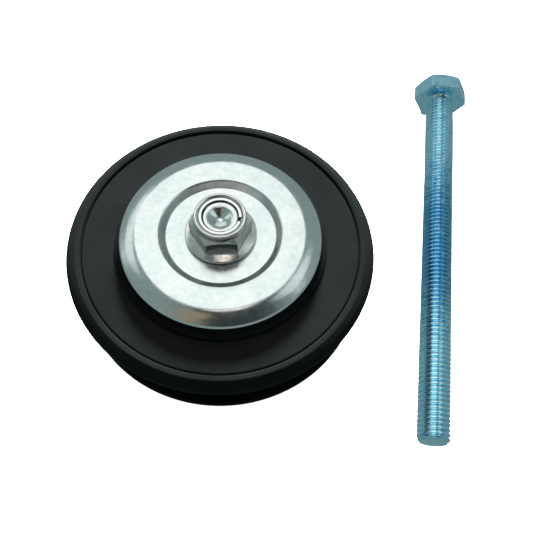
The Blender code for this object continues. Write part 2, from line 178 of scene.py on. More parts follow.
# %% Room and card
DARK_WAY = Vector((0.10, -0.42, 0.90)).normalized()
CARD_WAY = Vector((-0.32, -0.44, 0.84)).normalized()
CARD_SIZE = (0.085, 0.13)
CARD_DISTANCE = 0.30

world = bpy.data.worlds.new("studio_air")
world.use_nodes = True
air_nodes, air_links = world.node_tree.nodes, world.node_tree.links
air_turn = air_nodes.new("ShaderNodeVectorMath")
air_turn.operation = "DOT_PRODUCT"
air_turn.inputs[1].default_value = DARK_WAY
air_links.new(air_nodes.new("ShaderNodeTexCoord").outputs["Generated"], air_turn.inputs[0])
air_rise = air_nodes.new("ShaderNodeMapRange")
air_rise.interpolation_type = "SMOOTHSTEP"
air_links.new(air_turn.outputs["Value"], air_rise.inputs["Value"])
air_rise.inputs["From Min"].default_value = 0.78
air_rise.inputs["From Max"].default_value = 0.95
air_tone = air_nodes.new("ShaderNodeMix")
air_tone.data_type = "RGBA"
air_tone.inputs["A"].default_value = (0.215, 0.285, 0.285, 1)
air_tone.inputs["B"].default_value = (0.03, 0.04, 0.042, 1)
air_links.new(air_rise.outputs["Result"], air_tone.inputs["Factor"])
air_links.new(air_tone.outputs["Result"], air_nodes["Background"].inputs["Color"])
bpy.context.scene.world = world

card_mesh = bpy.data.meshes.new("brown_card")
card_form = bmesh.new()
bmesh.ops.create_grid(card_form, x_segments=1, y_segments=1, size=0.5,
                      matrix=Matrix.Diagonal((*CARD_SIZE, 1, 1)))
card_form.to_mesh(card_mesh)
card_form.free()
card = bpy.data.objects.new("brown_card", card_mesh)
bpy.context.scene.collection.objects.link(card)
card.location = CARD_WAY * CARD_DISTANCE
card.rotation_euler = CARD_WAY.to_track_quat("Z", "Y").to_euler()
card.visible_camera = card.visible_diffuse = card.visible_shadow = False
card_paper = paper.copy()
card_paper.name = "brown_paper"
card_tint = card_paper.node_tree.nodes["Mix"]
card_tint.inputs["A"].default_value = (0.085, 0.068, 0.050, 1)
card_tint.inputs["B"].default_value = (0.095, 0.076, 0.056, 1)
card_mesh.materials.append(card_paper)
bpy.context.scene.view_settings.view_transform = "Standard"
print("a dim room and a card")

# %% [markdown]
# ## Tools for the bench
# A turned piece is drawn as a section and swung round the axis. Real corners are never sharp, so
# each corner of the section carries a radius, and the helper below puts an arc there. The light
# then finds an edge to run along.

# %% Rounded sections
DEGREES_PER_POINT = 14
EDGE_SHARE = 0.48  # the part of an edge that one arc may take


def rounded(corners, closed=True):
    """The section's points in metres, from corners (radius, height, rounding) in millimetres."""
    points = []
    count = len(corners)
    for i, (r, z, rounding) in enumerate(corners):
        here = Vector((r, z))
        if not rounding or (not closed and i in (0, count - 1)):
            points.append(here)
            continue
        back = Vector(corners[i - 1][:2]) - here
        on = Vector(corners[(i + 1) % count][:2]) - here
        half = back.angle(on) / 2
        reach = min(rounding / tan(half), back.length * EDGE_SHARE, on.length * EDGE_SHARE)
        turn = pi - 2 * half
        steps = max(2, round(degrees(turn) / DEGREES_PER_POINT))
        start, end = here + back.normalized() * reach, here + on.normalized() * reach
        for k in range(steps + 1):
            t = k / steps
            points.append(start * (1 - t) ** 2 + here * 2 * t * (1 - t) + end * t ** 2)
    return [(p.x * MM, p.y * MM) for p in points]


print("a rounded square has", len(rounded([(0, 0, 1), (9, 0, 1), (9, 9, 1), (0, 9, 1)])), "points")

# %% [markdown]
# Every piece is handed over in the same way: it gets its finish, it rides on a body of the model,
# and the solid pieces that it stands for are hidden. The normals are weighted by area, so that a
# flat face next to a small rounded edge still looks flat.

# %% Handing a piece over
made = {}


def hand_over(piece, finish, body, *stands_for):
    """Gives a piece its finish and its body, and hides the solid pieces that it replaces."""
    piece.data.materials.clear()
    piece.data.materials.append(FINISHES[finish])
    normals = piece.modifiers.new("even_faces", "WEIGHTED_NORMAL")
    normals.keep_sharp = True
    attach(piece, body)
    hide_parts(*stands_for)
    made[piece.name] = len(piece.data.polygons)
    return piece


def new_piece(name, mesh):
    """An object for that mesh, linked to the scene."""
    piece = bpy.data.objects.new(name, mesh)
    bpy.context.scene.collection.objects.link(piece)
    return piece


# %% [markdown]
# The Screw modifier swings a section round Z. The section is closed and runs down its outer side,
# so the faces look outward. Its heights are given from a datum, which keeps the numbers small.

# %% Turning
def turned(name, corners, datum=0.0, steps=160, closed=True, place=(0, 0)):
    """A turned piece from its section's corners, in millimetres above the datum."""
    outline = rounded(corners, closed)
    count = len(outline)
    edges = [(i, (i + 1) % count) for i in range(count if closed else count - 1)]
    mesh = bpy.data.meshes.new(name)
    mesh.from_pydata([(r, 0, z) for r, z in outline], edges, [])
    piece = new_piece(name, mesh)
    piece.location = (*place, datum)
    screw = piece.modifiers.new("turning", "SCREW")
    screw.steps = steps
    screw.render_steps = steps
    screw.merge_threshold = 0.000001
    screw.use_merge_vertices = True
    screw.use_smooth_shade = True
    bpy.context.view_layer.objects.active = piece
    bpy.ops.object.modifier_apply(modifier=screw.name)
    return piece


# %% [markdown]
# ## Finishes
# A finish is mostly two things: what colour the surface sends back, and how it breaks up the
# light. The small helper below sets a shader's plain values, and the cells after it add the marks
# that a press, a lathe or a plating bath leaves. Places come from the piece's own coordinates, so
# the marks stay with it when it turns.

# %% Finish helper
FINISHES = {}


class Finish:
    """A Principled material with the few node moves that the finishes share."""

    def __init__(self, name, colour, metallic, roughness, **sockets):
        self.data = bpy.data.materials.new(name)
        self.data.use_nodes = True
        self.nodes, self.links = self.data.node_tree.nodes, self.data.node_tree.links
        self.shader = self.nodes["Principled BSDF"]
        self.shader.inputs["Base Color"].default_value = (*colour, 1)
        self.shader.inputs["Metallic"].default_value = metallic
        self.shader.inputs["Roughness"].default_value = roughness
        for socket, value in sockets.items():
            self.shader.inputs[socket.replace("_", " ")].default_value = value
        self.place = self.nodes.new("ShaderNodeTexCoord").outputs["Object"]
        FINISHES[name] = self.data

    def node(self, kind, **inputs):
        """A node with its sockets set or linked."""
        made_node = self.nodes.new("ShaderNode" + kind)
        for name, value in inputs.items():
            socket = made_node.inputs[name.replace("_", " ")]
            if isinstance(value, bpy.types.NodeSocket):
                self.links.new(value, socket)
            else:
                socket.default_value = value
        return made_node

    def math(self, operation, a, b=0.5):
        """One sum, product or other step on numbers."""
        step = self.nodes.new("ShaderNodeMath")
        step.operation = operation
        for socket, value in zip(step.inputs, (a, b)):
            if isinstance(value, bpy.types.NodeSocket):
                self.links.new(value, socket)
            else:
                socket.default_value = value
        return step.outputs[0]

    def noise(self, scale, detail=2.0, place=None):
        """Soft random blotches, scale per metre."""
        texture = self.node("TexNoise", Vector=place or self.place, Scale=scale, Detail=detail)
        return texture.outputs["Fac"]

    def radius(self):
        """The distance from the piece's own Z axis."""
        split = self.node("SeparateXYZ", Vector=self.place)
        x_part = self.math("MULTIPLY", split.outputs["X"], split.outputs["X"])
        y_part = self.math("MULTIPLY", split.outputs["Y"], split.outputs["Y"])
        return self.math("SQRT", self.math("ADD", x_part, y_part))

    def turning_marks(self, scale, wander=0.0002):
        """Rings of slightly different height, as a lathe leaves. Wander is how far they stray."""
        reach = self.math("ADD", self.radius(), self.math("MULTIPLY", self.noise(60), wander))
        rings = self.node("CombineXYZ", X=reach)
        return self.noise(scale, 4.0, rings.outputs[0])

    def spread(self, value, low, high):
        """Moves a 0.3 to 0.7 blotch value to the range low to high."""
        step = self.node("MapRange", Value=value, From_Min=0.3, From_Max=0.7,
                         To_Min=low, To_Max=high)
        return step.outputs["Result"]

    def blend(self, amount, first, second):
        """A mix of two colours, linked to the base colour."""
        mix = self.nodes.new("ShaderNodeMix")
        mix.data_type = "RGBA"
        self.links.new(amount, mix.inputs["Factor"])
        mix.inputs["A"].default_value = (*first, 1)
        mix.inputs["B"].default_value = (*second, 1)
        self.links.new(mix.outputs["Result"], self.shader.inputs["Base Color"])

    def rough(self, value):
        """Drives the roughness with that value."""
        self.links.new(value, self.shader.inputs["Roughness"])

    def bump(self, height, depth, strength=1.0):
        """Raises the surface by up to depth metres."""
        step = self.node("Bump", Height=height, Distance=depth, Strength=strength)
        self.links.new(step.outputs["Normal"], self.shader.inputs["Normal"])


# %% [markdown]
# The pulley is dipped in black. The coat is smooth and half gloss, with the faint ripple that
# paint keeps when it dries and a very slight change of gloss from place to place.

# %% Black coat
coat = Finish("black_paint", (0.008, 0.0096, 0.0093), 0.0, 0.40, Specular_IOR_Level=0.06)
coat.blend(coat.spread(coat.noise(90), 0, 1), (0.0068, 0.0083, 0.0080), (0.0088, 0.0103, 0.0101))
coat.rough(coat.spread(coat.noise(220, 5.0), 0.34, 0.46))
coat.bump(coat.noise(1500, 3.0), 0.000004, 0.6)
print("black coat:", len(coat.nodes), "nodes")

# %% [markdown]
# Zinc comes out of the bath bright and cool. The plate was pressed from rolled sheet, so it has
# fine rings from polishing, cloudy patches where the zinc is duller, and a few rubbed spots.

# %% Bright zinc
zinc = Finish("bright_zinc", (0.80, 0.84, 0.83), 1.0, 0.24)
wide_mottle = zinc.spread(zinc.noise(110, 3.0), 0, 0.5)
fine_mottle = zinc.spread(zinc.noise(700, 6.0), 0, 0.5)
zinc_mottle = zinc.math("ADD", wide_mottle, fine_mottle)
zinc.blend(zinc_mottle, (0.70, 0.765, 0.76), (0.93, 0.925, 0.89))
zinc_cloud = zinc.spread(zinc.noise(380, 8.0), 0.0, 0.10)
zinc.rough(zinc.math("ADD", zinc_cloud, zinc.spread(zinc.turning_marks(5200), 0.12, 0.20)))
zinc_grain = zinc.math("MULTIPLY", zinc.noise(420, 6.0), 3.0)
zinc.bump(zinc.math("ADD", zinc.turning_marks(2600), zinc_grain), 0.000008, 0.5)
print("bright zinc:", len(zinc.nodes), "nodes")

# %% [markdown]
# The nut has a warmer, greyer plate than the washer below it, and a tumbling barrel has left it
# with tiny dents. Its upright faces are painted darker than the faces that look up, as painted
# shade from the light above. The direction that a face looks in, in the nut's own frame, sets
# this painted light.

# %% Nut plate
nut_plate = Finish("nickel_nut", (0.86, 0.84, 0.81), 0.96, 0.24)
face_way = nut_plate.nodes.new("ShaderNodeTexCoord").outputs["Normal"]
looks_up = nut_plate.math("ABSOLUTE", nut_plate.node("SeparateXYZ", Vector=face_way).outputs["Z"])
# Painted light: faces that look up get the light colour and upright faces the dark one, as painted
# shade.
painted_top_light = nut_plate.node("MapRange", Value=looks_up, From_Min=0.1, From_Max=0.75, To_Max=0.85)
spots = nut_plate.spread(nut_plate.noise(500, 5.0), -0.12, 0.15)
painted_light_and_spots = nut_plate.math("ADD", painted_top_light.outputs["Result"], spots)
nut_plate.blend(painted_light_and_spots, (0.36, 0.35, 0.34), (0.92, 0.895, 0.86))
nut_plate.rough(nut_plate.spread(nut_plate.noise(900, 5.0), 0.14, 0.25))
nut_plate.bump(nut_plate.noise(900, 2.0), 0.000003, 0.25)
print("nut plate:", len(nut_plate.nodes), "nodes")

# %% [markdown]
# Blue passivated zinc is a thin clear film over the metal. It tints what the bolt reflects. Two
# blues are blended by the distance from the middle and a slow noise: the paler blue towards both
# ends is a painted highlight, and the noise leaves the film patchy everywhere.

# %% Blue zinc
BOLT_MIDDLE = 62 * MM
blue = Finish("blue_zinc", (0.50, 0.86, 0.97), 0.97, 0.30)
along = blue.node("SeparateXYZ", Vector=blue.place).outputs["Y"]
from_middle = blue.math("ABSOLUTE", blue.math("ADD", along, BOLT_MIDDLE))
# Painted highlight: the base colour turns paler towards both ends of the bolt.
end_highlight = blue.node("MapRange", Value=from_middle, From_Min=0.012, From_Max=0.038)
highlight_and_patches = blue.math("ADD", end_highlight.outputs["Result"], blue.spread(blue.noise(500, 8.0), -0.4, 0.4))
blue.blend(highlight_and_patches, (0.15, 0.43, 0.67), (0.50, 0.85, 1.0))
blue.rough(blue.spread(blue.noise(600, 4.0), 0.08, 0.20))
blue.bump(blue.noise(900, 2.0), 0.000006, 0.4)
print("blue zinc:", len(blue.nodes), "nodes")

# %% [markdown]
# Inside the hub are ground bearing steel, dark spring steel and moulded rubber. They hardly show,
# but a learner may want to lift the covers off and look.

# %% Hidden finishes
ground = Finish("bearing_steel", (0.60, 0.61, 0.62), 1.0, 0.18)
ground.blend(ground.spread(ground.noise(300, 3.0), 0, 1), (0.55, 0.56, 0.57), (0.64, 0.65, 0.66))
ground.rough(ground.spread(ground.turning_marks(4000), 0.12, 0.26))
spring = Finish("spring_steel", (0.30, 0.30, 0.31), 1.0, 0.34)
spring.blend(spring.spread(spring.noise(500, 4.0), 0, 1), (0.24, 0.24, 0.25), (0.36, 0.355, 0.35))
spring.rough(spring.spread(spring.noise(800, 3.0), 0.26, 0.42))
rubber = Finish("seal_rubber", (0.02, 0.02, 0.022), 0.0, 0.62)
rubber.blend(rubber.spread(rubber.noise(400, 4.0), 0, 1),
             (0.016, 0.016, 0.018), (0.028, 0.028, 0.030))
rubber.rough(rubber.spread(rubber.noise(900, 4.0), 0.52, 0.72))
rubber.bump(rubber.noise(2500, 2.0), 0.000015, 0.4)
print(len(FINISHES), "finishes")

# %% [markdown]
# ## The pulley
# The rim is one ring of sheet, spun between rollers. Its front edge is rolled over into a thick
# lip, the drum between the flanges is rolled into four V grooves for a ribbed belt, and the rear
# flange is a little smaller. The section is drawn from the lip downwards.

# %% Pulley rim
GROOVE_COUNT = 4
GROOVE_PITCH = 3.56
GROOVE_DEPTH = 2.5
RIB_TIP = 0.8
DRUM_R, DRUM_INNER_R = 38.6, 34.9
DRUM_TOP, DRUM_END = -1.2, -15.45


def grooves():
    """Corners of the V grooves, from the top one down, with round tips and floors."""
    mouth = (GROOVE_PITCH - RIB_TIP) / 2
    floor_half = mouth - GROOVE_DEPTH * tan(radians(20))
    centre = (DRUM_TOP + DRUM_END) / 2
    corners = []
    for i in range(GROOVE_COUNT):
        z = centre + (GROOVE_COUNT / 2 - 0.5 - i) * GROOVE_PITCH
        corners += [(DRUM_R, z + mouth, 0.3), (DRUM_R - GROOVE_DEPTH, z + floor_half, 0.3),
                    (DRUM_R - GROOVE_DEPTH, z - floor_half, 0.3), (DRUM_R, z - mouth, 0.3)]
    return corners


rim_corners = (
    [(39.5, 2.15, 0.2), (39.95, 2.7, 0.4), (41.1, 2.8, 0.9), (42.6, 1.9, 1.4), (43.7, 0.75, 0.5),
     (44.0, 0.0, 0.35), (43.7, -0.65, 0.35), (DRUM_R, DRUM_TOP, 0.3)]
    + grooves()
    + [(DRUM_R, DRUM_END, 0.4), (41.6, DRUM_END + 0.05, 0.5), (42.15, -16.2, 0.4),
       (41.75, -16.95, 0.4), (40.8, -17.1, 0.5), (DRUM_INNER_R, -17.1, 0.3),
       (DRUM_INNER_R, 0.34, 0.2), (39.5, 0.34, 0.1)])
rim = turned("spun_rim", rim_corners, rim_z, steps=224)
hand_over(rim, "black_paint", "pulley", "pulley_rim")
print("rim", made["spun_rim"], "faces")

# %% [markdown]
# The web is a pressed disc that sits inside the lip, with a fine seam between them. Its face is
# flat, and near the middle it is drawn down into the sleeve that grips the bearing. The press
# leaves a soft bend there, and a groove is turned in the sleeve for the snap ring.

# %% Pulley web
WEB_R = 39.44
SLEEVE_R, SLEEVE_INNER_R = 22.4, 20.3

web_corners = [
    (WEB_R, 2.24, 0.9), (WEB_R, 0.64, 0.2), (SLEEVE_R, 0.64, 1.2), (SLEEVE_R, -15.8, 0.6),
    (18.6, -15.8, 0.3), (18.6, -14.5, 0.1), (SLEEVE_INNER_R, -14.5, 0.1),
    (SLEEVE_INNER_R, -2.2, 0.05), (21.1, -2.2, 0.05), (21.1, -0.8, 0.05),
    (SLEEVE_INNER_R, -0.8, 0.05), (SLEEVE_INNER_R, 2.24, 1.8)]
web = turned("pressed_web", web_corners, rim_z, steps=192)
hand_over(web, "black_paint", "pulley", "pulley_web")
print("web", made["pressed_web"], "faces")

# %% [markdown]
# ## Covers
# Behind the bright plate is a black cup. Its flared skirt stops half a millimetre above the
# turning web, so that little dirt gets past it. The skirt's lower edge is thin, and shows as a
# fine bright line.

# %% Dust shields
STUD_HOLE_R = 5.25

front_shield_corners = [
    (28.3, 5.45, 0.8), (28.9, 4.2, 1.2), (30.1, 2.95, 0.1), (29.95, 2.75, 0.1), (29.3, 2.8, 0.2),
    (28.0, 4.0, 0.8), (27.5, 4.5, 0.4), (STUD_HOLE_R, 4.5, 0.1), (STUD_HOLE_R, 5.5, 0.1),
    (27.4, 5.5, 0.3)]
hand_over(turned("front_dust_cup", front_shield_corners, rim_z, steps=192),
          "black_paint", "shaft", "front_dust_shield")
rear_shield_corners = [
    (12.6, -6.3, 0.5), (14.4, -8.2, 0.5), (23.4, -8.2, 0.3), (23.8, -8.6, 0.2), (23.8, -9.2, 0.25),
    (13.8, -9.2, 0.6), (12.1, -7.3, 0.4), (STUD_HOLE_R, -7.3, 0.1), (STUD_HOLE_R, -6.3, 0.1)]
hand_over(turned("rear_dust_washer", rear_shield_corners, bearing_z, steps=128),
          "black_paint", "shaft", "rear_dust_shield")
print("shields", made["front_dust_cup"], "and", made["rear_dust_washer"], "faces")

# %% [markdown]
# The cover plate is the brightest piece. A press forms it in one stroke: a flat centre under the
# nut, a step up to a raised ring, and a long slope down to a rolled edge. Each bend reflects a
# different part of the studio, which is what makes the plate look pressed and not drawn.

# %% Cover plate
plate_corners = [
    (15.4, 7.0, 0.5), (17.1, 8.65, 1.0), (18.3, 8.8, 1.6), (24.1, 8.77, 4.5), (26.2, 7.85, 7.0),
    (28.0, 6.85, 0.9), (28.4, 6.3, 0.25), (28.15, 5.8, 0.2), (27.7, 5.85, 0.2), (23.4, 7.6, 5.0),
    (18.2, 7.6, 1.5), (17.2, 7.1, 0.8), (16.0, 5.8, 0.6), (STUD_HOLE_R, 5.8, 0.1),
    (STUD_HOLE_R, 7.0, 0.1)]
plate = turned("pressed_cover", plate_corners, rim_z, steps=224)
hand_over(plate, "bright_zinc", "shaft", "cover_plate")
print("plate", made["pressed_cover"], "faces")

# %% [markdown]
# ## Hexagons and threads
# Nuts and bolts are made of rings that aren't all round. The helper takes a list of rings. Each
# one has a radius and a height for every column, so a ring may be a circle, a hexagon, or the
# curved line where a cone cuts a hexagon. The columns crowd together at the six corners, to round
# them off.

# %% Rings of points
CORNER_SPLIT = radians(1.5)
SECTOR = [-CORNER_SPLIT, 0, CORNER_SPLIT, *(radians(a) for a in range(6, 58, 6))]
COLUMNS = np.array([radians(60) * k + a for k in range(6) for a in SECTOR])
ROUND_COLUMNS = np.linspace(0, 2 * pi, len(COLUMNS), endpoint=False)


def hexagon(across_flats, corner_share=0.992):
    """Radius of a hexagon in each column, with its corners on the columns' corners."""
    from_flat = (COLUMNS + CORNER_SPLIT) % radians(60) - CORNER_SPLIT - radians(30)
    radii = across_flats / 2 / np.cos(from_flat)
    return np.minimum(radii, across_flats / sqrt(3) * corner_share)


def ring(radius, height):
    """One ring, in millimetres: numbers or one value for each column."""
    return np.broadcast_to(radius, COLUMNS.shape), np.broadcast_to(height, COLUMNS.shape)


def skin(form, rings, seam_shift=0, columns=COLUMNS):
    """Joins rings with quads.

    With a seam shift, the last column meets the first one that many rings higher."""
    rows = [[form.verts.new((r * cos(a) * MM, r * sin(a) * MM, z * MM))
             for r, z, a in zip(radii, heights, columns)] for radii, heights in rings]
    count = len(columns)
    for low, (below, above) in enumerate(zip(rows, rows[1:])):
        for i in range(count - 1):
            form.faces.new((below[i], below[i + 1], above[i + 1], above[i]))
        far = low + seam_shift
        if far + 1 < len(rows):
            form.faces.new((below[-1], rows[far][0], rows[far + 1][0], above[-1]))
    return rows


print(len(COLUMNS), "columns of points")

# %% [markdown]
# A screw thread is a ridge that climbs one pitch each turn. If the rings climb with it, every
# edge follows the ridge, and the thread stays clean with few faces. Ring n ends one pitch above
# its start, so the seam joins it to the ring that many rows higher.

# %% Screw threads
THREAD_SHAPE = [(0.0, 0.9), (0.04, 0.98), (0.08, 1.0), (0.37, 1.0), (0.41, 0.98), (0.45, 0.9),
                (0.6, 0.1), (0.65, 0.0), (0.82, 0.0), (0.88, 0.1)]
LEAD_IN = 1.05


def thread(form, major, minor, pitch, low, high, low_end, high_end, chamfer=0.0,
           columns=COLUMNS):
    """A thread between two heights, closing to the given radii at its ends. All in millimetres.

    The ridge starts LEAD_IN turns lower, and is cut off level at both heights."""
    per_turn = len(THREAD_SHAPE)
    climb = columns / (2 * pi)
    rings = []
    for n in range(int((high - low) / pitch + 2) * per_turn + 1):
        share, fullness = THREAD_SHAPE[n % per_turn]
        height = low + (n // per_turn + share + climb - LEAD_IN) * pitch
        radius = np.full(len(columns), minor + (major - minor) * fullness)
        if chamfer:
            to_end = np.maximum(high - height, 0)
            radius = np.minimum(radius, high_end + to_end * (major - high_end) / chamfer)
        radius = np.where(height <= low, low_end, radius)
        radius = np.where(height >= high, high_end, radius)
        rings.append((radius, np.clip(height, low, high)))
    skin(form, rings, per_turn, columns)


def close_up(form):
    """Welds rings that meet and removes what has no area."""
    bmesh.ops.remove_doubles(form, verts=form.verts[:], dist=0.000002)
    bmesh.ops.dissolve_degenerate(form, edges=form.edges[:], dist=0.0000005)
    holes = [e for e in form.edges if e.is_boundary]
    if holes:
        bmesh.ops.holes_fill(form, edges=holes, sides=0)
    bmesh.ops.recalc_face_normals(form, faces=form.faces[:])


def finished_mesh(name, form):
    """The form as a smooth-shaded mesh."""
    mesh = bpy.data.meshes.new(name)
    form.to_mesh(mesh)
    form.free()
    mesh.shade_smooth()
    return mesh


print("a thread's section has", len(THREAD_SHAPE), "points a turn")

# %% [markdown]
# The flange nut is forged: a wide foot spreads the load, the hexagon stands on its cone, and a
# round crown above holds a split ring that bites on the thread. The heights below start at the
# foot.

# %% Flange nut
NUT_AF = 15.0
FOOT_R = 10.0
FOOT_SLOPE = 0.2
CROWN_R = 7.2


def nut_rings(top):
    """Rings of the nut from its bore under the foot, up the outside and down into the crown."""
    hexa = hexagon(NUT_AF)
    cone = 1.25 + (FOOT_R - hexa) * FOOT_SLOPE
    shoulder = top - 2.0 - (hexa - CROWN_R + 0.35) * 0.6
    neck = top - 2.3
    return [
        ring(STUD_HOLE_R + 0.5, 0), ring(FOOT_R - 0.35, 0), ring(FOOT_R - 0.08, 0.12),
        ring(FOOT_R, 0.35), ring(FOOT_R, 0.75), ring(FOOT_R - 0.1, 1.0), ring(FOOT_R - 0.35, 1.2),
        ring(hexa + 0.22, cone - 0.12), ring(hexa + 0.04, cone + 0.04), ring(hexa, cone + 0.2),
        ring(hexa, shoulder - 0.14), ring(hexa - 0.06, shoulder - 0.03),
        ring(hexa - 0.2, shoulder + 0.09), ring(CROWN_R + 0.16, neck + 0.06),
        ring(CROWN_R + 0.02, neck + 0.2), ring(CROWN_R, neck + 0.4),
        ring(CROWN_R - 0.02, top - 0.5), ring(CROWN_R - 0.14, top - 0.17),
        ring(CROWN_R - 0.42, top), ring(CROWN_R - 0.68, top - 0.05), ring(6.0, top - 0.28),
        ring(5.92, top - 0.5), ring(5.9, top - 1.7), ring(5.8, top - 1.8),
        ring(STUD_HOLE_R + 0.1, top - 1.82), ring(STUD_HOLE_R, top - 1.95),
        ring(STUD_HOLE_R, 0.5)]


nut_form = bmesh.new()
foot_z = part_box("flange_nut")[0].z
nut_rows = nut_rings((nut_top - foot_z) / MM)
skin(nut_form, nut_rows + nut_rows[:1])
close_up(nut_form)
nut = new_piece("locking_flange_nut", finished_mesh("locking_flange_nut", nut_form))
nut.location = (0, 0, foot_z)
hand_over(nut, "nickel_nut", "shaft", "flange_nut")
print("nut", made["locking_flange_nut"], "faces")

# %% [markdown]
# The stud's chamfered end stands just below the nut's crown. Its centre hole was drilled for the
# lathe. The hole keeps the drill's ring marks, and a small pilot at the bottom. The thread is cut
# only where the nut needs it, and the shank below is plain.

# %% Stud
STUD_R = 4.95
STUD_THREAD = 14
STUD_CHAMFER = 0.25
THREAD_PITCH = 1.5
THREAD_DEPTH = 0.7
DRILL_R = 2.9
DRILL_SLOPE = tan(radians(31))
MARK_COUNT, MARK_STEP, MARK_DEPTH = 7, 0.3, 0.04

stud_low, stud_high = (corner.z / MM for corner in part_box("stud"))
thread_low = stud_high - STUD_THREAD
stud_form = bmesh.new()
skin(stud_form, [
    ring(STUD_R - 0.7, stud_low), ring(STUD_R, stud_low + 0.7), ring(STUD_R, thread_low - 0.6),
    ring(STUD_R - 0.5, thread_low)], columns=ROUND_COLUMNS)
thread(stud_form, STUD_R, STUD_R - THREAD_DEPTH, THREAD_PITCH, thread_low, stud_high,
       STUD_R - 0.5, STUD_R - STUD_CHAMFER, STUD_CHAMFER, ROUND_COLUMNS)
stud_end = [ring(STUD_R - STUD_CHAMFER, stud_high), ring(STUD_R - 0.5, stud_high),
            ring(DRILL_R + 0.15, stud_high)]
for k in range(MARK_COUNT):
    inward = k * MARK_STEP
    depth = 0.1 + inward * DRILL_SLOPE + MARK_DEPTH * (1 - k % 2)
    stud_end.append(ring(DRILL_R - inward, stud_high - depth))
pilot = [ring(0.8, stud_high - 1.5), ring(0.55, stud_high - 1.65), ring(0.3, stud_high - 1.6)]
skin(stud_form, stud_end + pilot, columns=ROUND_COLUMNS)
close_up(stud_form)
stud = new_piece("threaded_stud", finished_mesh("threaded_stud", stud_form))
hand_over(stud, "bright_zinc", "shaft", "stud")
print("stud", made["threaded_stud"], "faces")

# %% [markdown]
# Split rings need room to spring open, so each has a gap. The section is swept round most of a
# turn, and both cut ends are closed.

# %% Split rings
def split_ring(name, corners, datum, gap_angle, gap, steps=120):
    """A ring of that section with a gap, its angles in degrees."""
    outline = rounded(corners)
    form = bmesh.new()
    rows = []
    for i in range(steps + 1):
        a = radians(gap_angle + gap / 2 + (360 - gap) * i / steps)
        rows.append([form.verts.new((r * cos(a), r * sin(a), z)) for r, z in outline])
    for back, on in zip(rows, rows[1:]):
        for i in range(len(outline)):
            j = (i + 1) % len(outline)
            form.faces.new((back[i], back[j], on[j], on[i]))
    form.faces.new(rows[0])
    form.faces.new(rows[-1][::-1])
    bmesh.ops.recalc_face_normals(form, faces=form.faces[:])
    piece = new_piece(name, finished_mesh(name, form))
    piece.location.z = datum
    return piece


def square_section(inner, outer, height, edge):
    """Corners of a rectangle below the datum."""
    return [(outer, 0, edge), (outer, -height, edge), (inner, -height, edge), (inner, 0, edge)]


friction_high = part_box("nut_friction_ring")[1].z
friction = split_ring("nut_split_ring", square_section(5.0, 5.78, 0.7, 0.1), friction_high,
                      gap_angle=-14, gap=12)
hand_over(friction, "nickel_nut", "shaft", "nut_friction_ring")
snap_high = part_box("hub_snap_ring")[1].z
snap = split_ring("bearing_snap_ring", square_section(18.2, 20.8, 1.0, 0.15), snap_high,
                  gap_angle=0, gap=15)
hand_over(snap, "spring_steel", "pulley", "hub_snap_ring")
print("split rings", made["nut_split_ring"], "and", made["bearing_snap_ring"], "faces")

# %% [markdown]
# The adjuster bolt has a plain forged hexagon head and a thread rolled over its whole length. It
# is built standing on its head, so the thread runs upwards like the stud's. It is then laid down
# on one flat of the head and the end of the thread, as a real bolt comes to rest.

# %% Adjuster bolt
BOLT_R = 4.97
BOLT_LENGTH = 130
BOLT_AF = 17
BOLT_HEAD = 6.4
BOLT_TURN = radians(11.1)
THREAD_START = 1.2
HEAD_SLOPE = tan(radians(30))

bolt_hexagon = hexagon(BOLT_AF)
head_flat_r = BOLT_AF / 2 - 0.25
head_shoulder = (bolt_hexagon - head_flat_r) * HEAD_SLOPE - BOLT_HEAD
bolt_form = bmesh.new()
skin(bolt_form, [
    ring(head_flat_r - 0.6, 0.03 - BOLT_HEAD), ring(head_flat_r - 0.12, 0.0 - BOLT_HEAD),
    ring(head_flat_r + 0.05, 0.04 - BOLT_HEAD), ring(bolt_hexagon - 0.1, head_shoulder - 0.04),
    ring(bolt_hexagon - 0.02, head_shoulder + 0.06), ring(bolt_hexagon, head_shoulder + 0.2),
    ring(bolt_hexagon, -0.45), ring(bolt_hexagon - 0.06, -0.32), ring(bolt_hexagon - 0.3, -0.2),
    ring(BOLT_AF / 2 - 0.35, -0.15), ring(BOLT_AF / 2 - 0.5, 0), ring(BOLT_R + 0.45, 0),
    ring(BOLT_R + 0.1, 0.15), ring(BOLT_R - 0.1, 0.5), ring(BOLT_R - 0.3, THREAD_START)])
thread(bolt_form, BOLT_R, BOLT_R - THREAD_DEPTH, THREAD_PITCH, THREAD_START, BOLT_LENGTH,
       BOLT_R - 0.3, BOLT_R - 0.9, 0.9)
close_up(bolt_form)
bolt = new_piece("long_adjuster_bolt", finished_mesh("long_adjuster_bolt", bolt_form))
droop = (BOLT_AF / 2 - BOLT_R) / BOLT_LENGTH
lay_down = Matrix.Rotation(-BOLT_TURN, 4, "Z") @ Matrix.Rotation(pi / 2 + droop, 4, "X")
bolt.data.transform(lay_down)
laid = np.array([v.co for v in bolt.data.vertices])
bolt_low, bolt_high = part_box("adjuster_bolt")
bolt.location = (bolt_low + bolt_high) / 2 - Vector((laid.min(0) + laid.max(0)) / 2)
hand_over(bolt, "blue_zinc", "bolt", "adjuster_bolt")
print("bolt", made["long_adjuster_bolt"], "faces")

# %% [markdown]
# ## The slider block
# Behind the pulley the stud is fast in a steel block. Its tongue runs in a slot of the engine's
# bracket, and the bolt's thread runs through the block from side to side. The block is a
# bevelled box. A second box for the tongue has its root sunk in the first, so that they join,
# and the thread is cut with a solid of the bolt's own shape.

# %% Slider block
BLOCK_TOP = 14.0
TONGUE = 12.0
HOLE_HEIGHT = 6.2
TONGUE_ROOT = 4.0
TAP_R, TAP_CORE_R, TAP_END_R = 5.15, 4.4, 4.6
COUNTERSINK_R = 7.2


